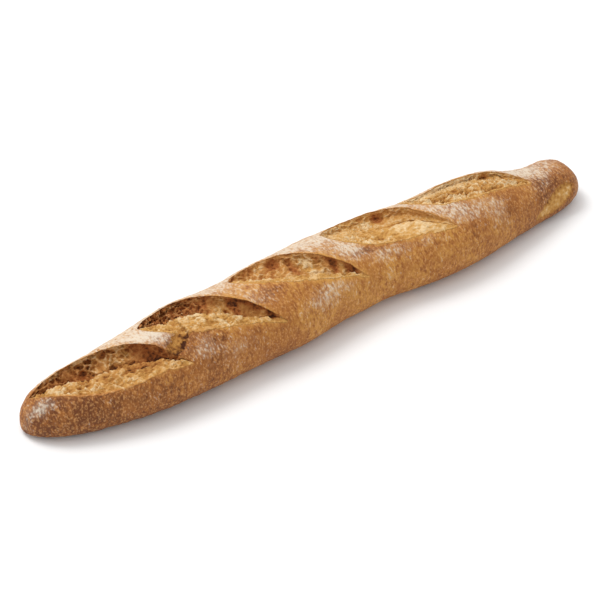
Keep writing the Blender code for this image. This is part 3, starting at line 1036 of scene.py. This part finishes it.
class Nodes:
    """Short ways to add and join shader nodes."""

    def __init__(self, tree):
        self.tree = tree

    def add(self, kind, **settings):
        node = self.tree.nodes.new(kind)
        for name, value in settings.items():
            setattr(node, name, value)
        return node

    def join(self, source, target):
        self.tree.links.new(source, target)

    def feed(self, target, value):
        if hasattr(value, "is_output"):
            self.join(value, target)
        else:
            target.default_value = value

    def mask(self, name):
        return self.add("ShaderNodeAttribute", attribute_name=name).outputs["Fac"]

    def math(self, operation, *values):
        node = self.add("ShaderNodeMath", operation=operation)
        for socket, value in zip(node.inputs, values):
            self.feed(socket, value)
        return node.outputs["Value"]

    def total(self, start, *parts):
        """A number plus the sum of values, each times its weight."""
        result = start
        for value, weight in parts:
            result = self.math("ADD", result, self.math("MULTIPLY", value, weight))
        return result

    def remap(self, value, low, high, to_low=0.0, to_high=1.0):
        node = self.add("ShaderNodeMapRange", clamp=True)
        names = ("Value", "From Min", "From Max", "To Min", "To Max")
        for name, number in zip(names, (value, low, high, to_low, to_high)):
            self.feed(node.inputs[name], number)
        return node.outputs["Result"]

    def mix(self, factor, first, second):
        node = self.add("ShaderNodeMix", data_type="RGBA")
        self.feed(node.inputs["Factor"], factor)
        self.feed(node.inputs[6], first)
        self.feed(node.inputs[7], second)
        return node.outputs[2]

    def noise(self, place, size, detail=3.0, rough=0.55, stretch=(1, 1, 1)):
        """Noise from 0 to 1 whose lumps are about size metres across."""
        mapping = self.add("ShaderNodeMapping")
        mapping.inputs["Scale"].default_value = [1 / (size * s) for s in stretch]
        self.join(place, mapping.inputs["Vector"])
        node = self.add("ShaderNodeTexNoise")
        for name, number in (("Scale", 1.0), ("Detail", detail), ("Roughness", rough)):
            node.inputs[name].default_value = number
        self.join(mapping.outputs["Vector"], node.inputs["Vector"])
        return node.outputs["Fac"]

    def cells(self, place, size):
        """0 in the middle of cells about size metres across, rising towards their walls."""
        node = self.add("ShaderNodeTexVoronoi")
        node.inputs["Scale"].default_value = 1 / size
        self.join(place, node.inputs["Vector"])
        return node.outputs["Distance"]


def rgba(colour):
    return (*colour, 1.0)


def baked_crust(n, colours, place, tone, roast):
    """Crust from golden to brown in broad clouds with fine golden grains, darker where it has baked
    most. Gives its colour and its wrinkles."""
    clouds = n.noise(place, 0.024, 3.0, 0.55)
    wrinkles = n.noise(place, 0.0028, 3.0, 0.68, stretch=(1, 1.8, 1.8))
    wrinkled = n.remap(n.noise(place, 0.026, 2.0, 0.5), 0.36, 0.64, 0.45, 1.25)
    wrinkles = n.math("MULTIPLY_ADD", n.math("SUBTRACT", wrinkles, 0.5), wrinkled, 0.5)
    browning = n.total(-0.51, (clouds, 0.7), (wrinkles, 1.35), (tone, 0.30), (roast, -0.36))
    crust = n.mix(n.remap(browning, 0.42, 0.80), rgba(colours.brown), rgba(colours.golden))
    crust = n.mix(n.remap(browning, 0.44, 0.10), crust, rgba(colours.dark))
    grains = n.remap(n.noise(place, 0.0014, 1.0, 0.5, stretch=(1, 1.5, 1.5)), 0.50, 0.72, 0.0, 0.50)
    return n.mix(grains, crust, rgba(colours.grain)), wrinkles


def flour_cover(n, place, wrinkles, flour):
    """A haze of flour broken into fine streaks round the loaf, and single flecks."""
    patches = n.noise(place, 0.012, 3.0, 0.6)
    flecks = n.noise(place, 0.0016, 1.0, 0.5, stretch=(1, 1.8, 1.8))
    amount = n.total(-2.24, (flecks, 1.8), (wrinkles, 1.35), (patches, 0.8), (flour, 0.98))
    haze = n.remap(n.total(-0.35, (patches, 0.7), (flour, 0.8)), 0.15, 0.90, 0.0, 0.30)
    return n.math("ADD", n.remap(amount, 0.12, 0.70, 0.0, 0.60), haze)


def torn_crumb(n, colours, mottle, pores, tone, roast):
    """Crumb from its darkest hollows through toast or ochre and russet or gold to cream ridges. The
    darkest is partly painted shade and the cream partly painted highlight, as the tone mask has them.
    """
    pale = n.total(-0.52, (tone, 1.0), (mottle, 0.85), (pores, 0.25))
    hollow = n.mix(roast, rgba(colours.ochre), rgba(colours.toast))
    inner = n.mix(n.remap(pale, 0.00, 0.24), rgba(colours.scorch_and_shade), hollow)
    middle = n.remap(pale, 0.24, 0.60)
    inner = n.mix(middle, inner, n.mix(roast, rgba(colours.gold), rgba(colours.russet)))
    return n.mix(n.remap(pale, 0.62, 1.00), inner, rgba(colours.cream))


def new_material(name):
    material = bpy.data.materials.new(name)
    material.use_nodes = True
    shader = material.node_tree.nodes["Principled BSDF"]
    shader.inputs["Specular IOR Level"].default_value = SHEEN
    return material, shader


def bread_material(colours):
    material, shader = new_material("bread")
    n = Nodes(material.node_tree)
    place = n.add("ShaderNodeTexCoord").outputs["Object"]
    crumb, roast, tone, flour = (n.mask(name) for name in MASKS)

    crust, wrinkles = baked_crust(n, colours, place, tone, roast)
    floured = flour_cover(n, place, wrinkles, flour)
    crust = n.mix(floured, crust, rgba(colours.flour))
    mottle, pores = n.noise(place, 0.0026, 3.0, 0.65), n.cells(place, 0.0026)
    inner = torn_crumb(n, colours, mottle, pores, tone, roast)
    crumb = n.remap(n.total(-0.6, (crumb, 1.0), (mottle, 1.2)), 0.42, 0.58)
    n.join(n.mix(crumb, crust, inner), shader.inputs["Base Color"])
    rough = n.remap(floured, 0.0, 0.8, 0.58, 0.88)
    n.join(n.math("MAXIMUM", rough, n.math("MULTIPLY", crumb, 0.88)), shader.inputs["Roughness"])

    fine = n.noise(place, 0.0017, 3.0, 0.65)
    torn = n.math("MULTIPLY", crumb, n.math("ADD", pores, mottle))
    height = n.total(0.0, (fine, 0.7), (wrinkles, 1.3), (torn, 0.9))
    bump = n.add("ShaderNodeBump")
    bump.inputs["Strength"].default_value = BUMP_STRENGTH
    bump.inputs["Distance"].default_value = BUMP_DISTANCE
    n.join(height, bump.inputs["Height"])
    n.join(bump.outputs["Normal"], shader.inputs["Normal"])
    return material


def plain_material(name, colour, roughness):
    material, shader = new_material(name)
    shader.inputs["Base Color"].default_value = rgba(colour)
    shader.inputs["Roughness"].default_value = roughness
    return material


# ==== operators ====


class BREAD_OT_loaf(Operator):
    """Bake the loaf with its torn slashes, crust, crumb and flour"""

    bl_idname = "bread.loaf"
    bl_label = "Loaf"

    def execute(self, context):
        loaf = bpy.data.objects.new("loaf", loaf_mesh(context.scene.bread_shape))
        loaf.data.materials.append(bread_material(context.scene.bread_colours))
        context.scene.collection.objects.link(loaf)
        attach(loaf, "root")
        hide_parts("baguette")
        return {"FINISHED"}


def aim_axes():
    """The camera's right, up and backward directions."""
    a, e = math.radians(AZIMUTH), math.radians(ELEVATION)
    back = Vector((math.sin(a) * math.cos(e), -math.cos(a) * math.cos(e), math.sin(e)))
    right = Vector((math.cos(a), math.sin(a), 0.0))
    return right, back.cross(right), back


def soft_surround(n, settings):
    """A pale dome that is brightest where the key light comes from."""
    direction = n.add("ShaderNodeTexCoord").outputs["Generated"]
    dot = n.add("ShaderNodeVectorMath", operation="DOT_PRODUCT")
    n.join(direction, dot.inputs[0])
    dot.inputs[1].default_value = Vector(KEY_FROM).normalized()
    lobe = n.math("POWER", n.math("MAXIMUM", dot.outputs["Value"], 0.0), 2.0)
    strength = n.math("ADD", n.math("MULTIPLY", lobe, settings.dome), settings.surround)
    n.join(strength, n.tree.nodes["Background"].inputs["Strength"])
    n.tree.nodes["Background"].inputs["Color"].default_value = (1, 1, 1, 1)


def look_at(thing, target):
    thing.rotation_mode = "QUATERNION"
    thing.rotation_quaternion = (Vector(target) - thing.location).to_track_quat("-Z", "Y")


def area_light(scene, name, place, target, size, power):
    data = bpy.data.lights.new(name, "AREA")
    data.shape = "RECTANGLE"
    data.size, data.size_y = size
    data.energy = power
    light = bpy.data.objects.new(name, data)
    light.location = place
    look_at(light, target)
    scene.collection.objects.link(light)


class BREAD_OT_stage(Operator):
    """Set the pale floor, the soft light and the camera"""

    bl_idname = "bread.stage"
    bl_label = "Stage"

    def execute(self, context):
        scene = context.scene
        settings = scene.bread_stage
        scene.view_settings.view_transform = "Standard"
        scene.view_settings.look = "None"

        mesh = bpy.data.meshes.new("floor")
        signs = ((-1, -1), (1, -1), (1, 1), (-1, 1))
        corners = [(FLOOR_REACH * a, FLOOR_REACH * b, FLOOR_LEVEL) for a, b in signs]
        mesh.from_pydata(corners, [], [(0, 1, 2, 3)])
        mesh.materials.append(plain_material("floor", settings.floor, 0.9))
        floor = bpy.data.objects.new("floor", mesh)
        scene.collection.objects.link(floor)

        world = bpy.data.worlds.new("surround")
        world.use_nodes = True
        soft_surround(Nodes(world.node_tree), settings)
        scene.world = world
        place = Vector(KEY_FROM).normalized() * KEY_DISTANCE
        area_light(scene, "key", place, AIM, KEY_SIZE, settings.key)

        right, up, back = aim_axes()
        data = bpy.data.cameras.new("camera")
        data.lens = LENS
        data.sensor_width = SENSOR_WIDTH
        camera = bpy.data.objects.new("camera", data)
        camera.location = Vector(AIM) + back * DISTANCE
        look_at(camera, Vector(AIM) + right * AIM_RIGHT + up * AIM_UP)
        scene.collection.objects.link(camera)
        scene.camera = camera
        return {"FINISHED"}


class BREAD_PT_panel(Panel):
    """Lists the steps that make the baguette"""

    bl_label = "Rustic Baguette"
    bl_idname = "BREAD_PT_panel"
    bl_space_type = "VIEW_3D"
    bl_region_type = "UI"
    bl_category = "Bread"

    def draw(self, context):
        scene = context.scene
        for group in (scene.bread_shape, scene.bread_colours, scene.bread_stage):
            box = self.layout.box()
            for name in group.__annotations__:
                box.prop(group, name)
        for step in STEPS:
            self.layout.operator(step.bl_idname)


STEPS = (BREAD_OT_loaf, BREAD_OT_stage)
CLASSES = (BreadShape, BreadColours, StageSettings, *STEPS, BREAD_PT_panel)


def register():
    for cls in CLASSES:
        bpy.utils.register_class(cls)
    bpy.types.Scene.bread_shape = PointerProperty(type=BreadShape)
    bpy.types.Scene.bread_colours = PointerProperty(type=BreadColours)
    bpy.types.Scene.bread_stage = PointerProperty(type=StageSettings)


def unregister():
    del bpy.types.Scene.bread_stage
    del bpy.types.Scene.bread_colours
    del bpy.types.Scene.bread_shape
    for cls in reversed(CLASSES):
        bpy.utils.unregister_class(cls)


def main():
    register()
    bpy.ops.bread.loaf()
    bpy.ops.bread.stage()


if __name__ == "__main__":
    main()
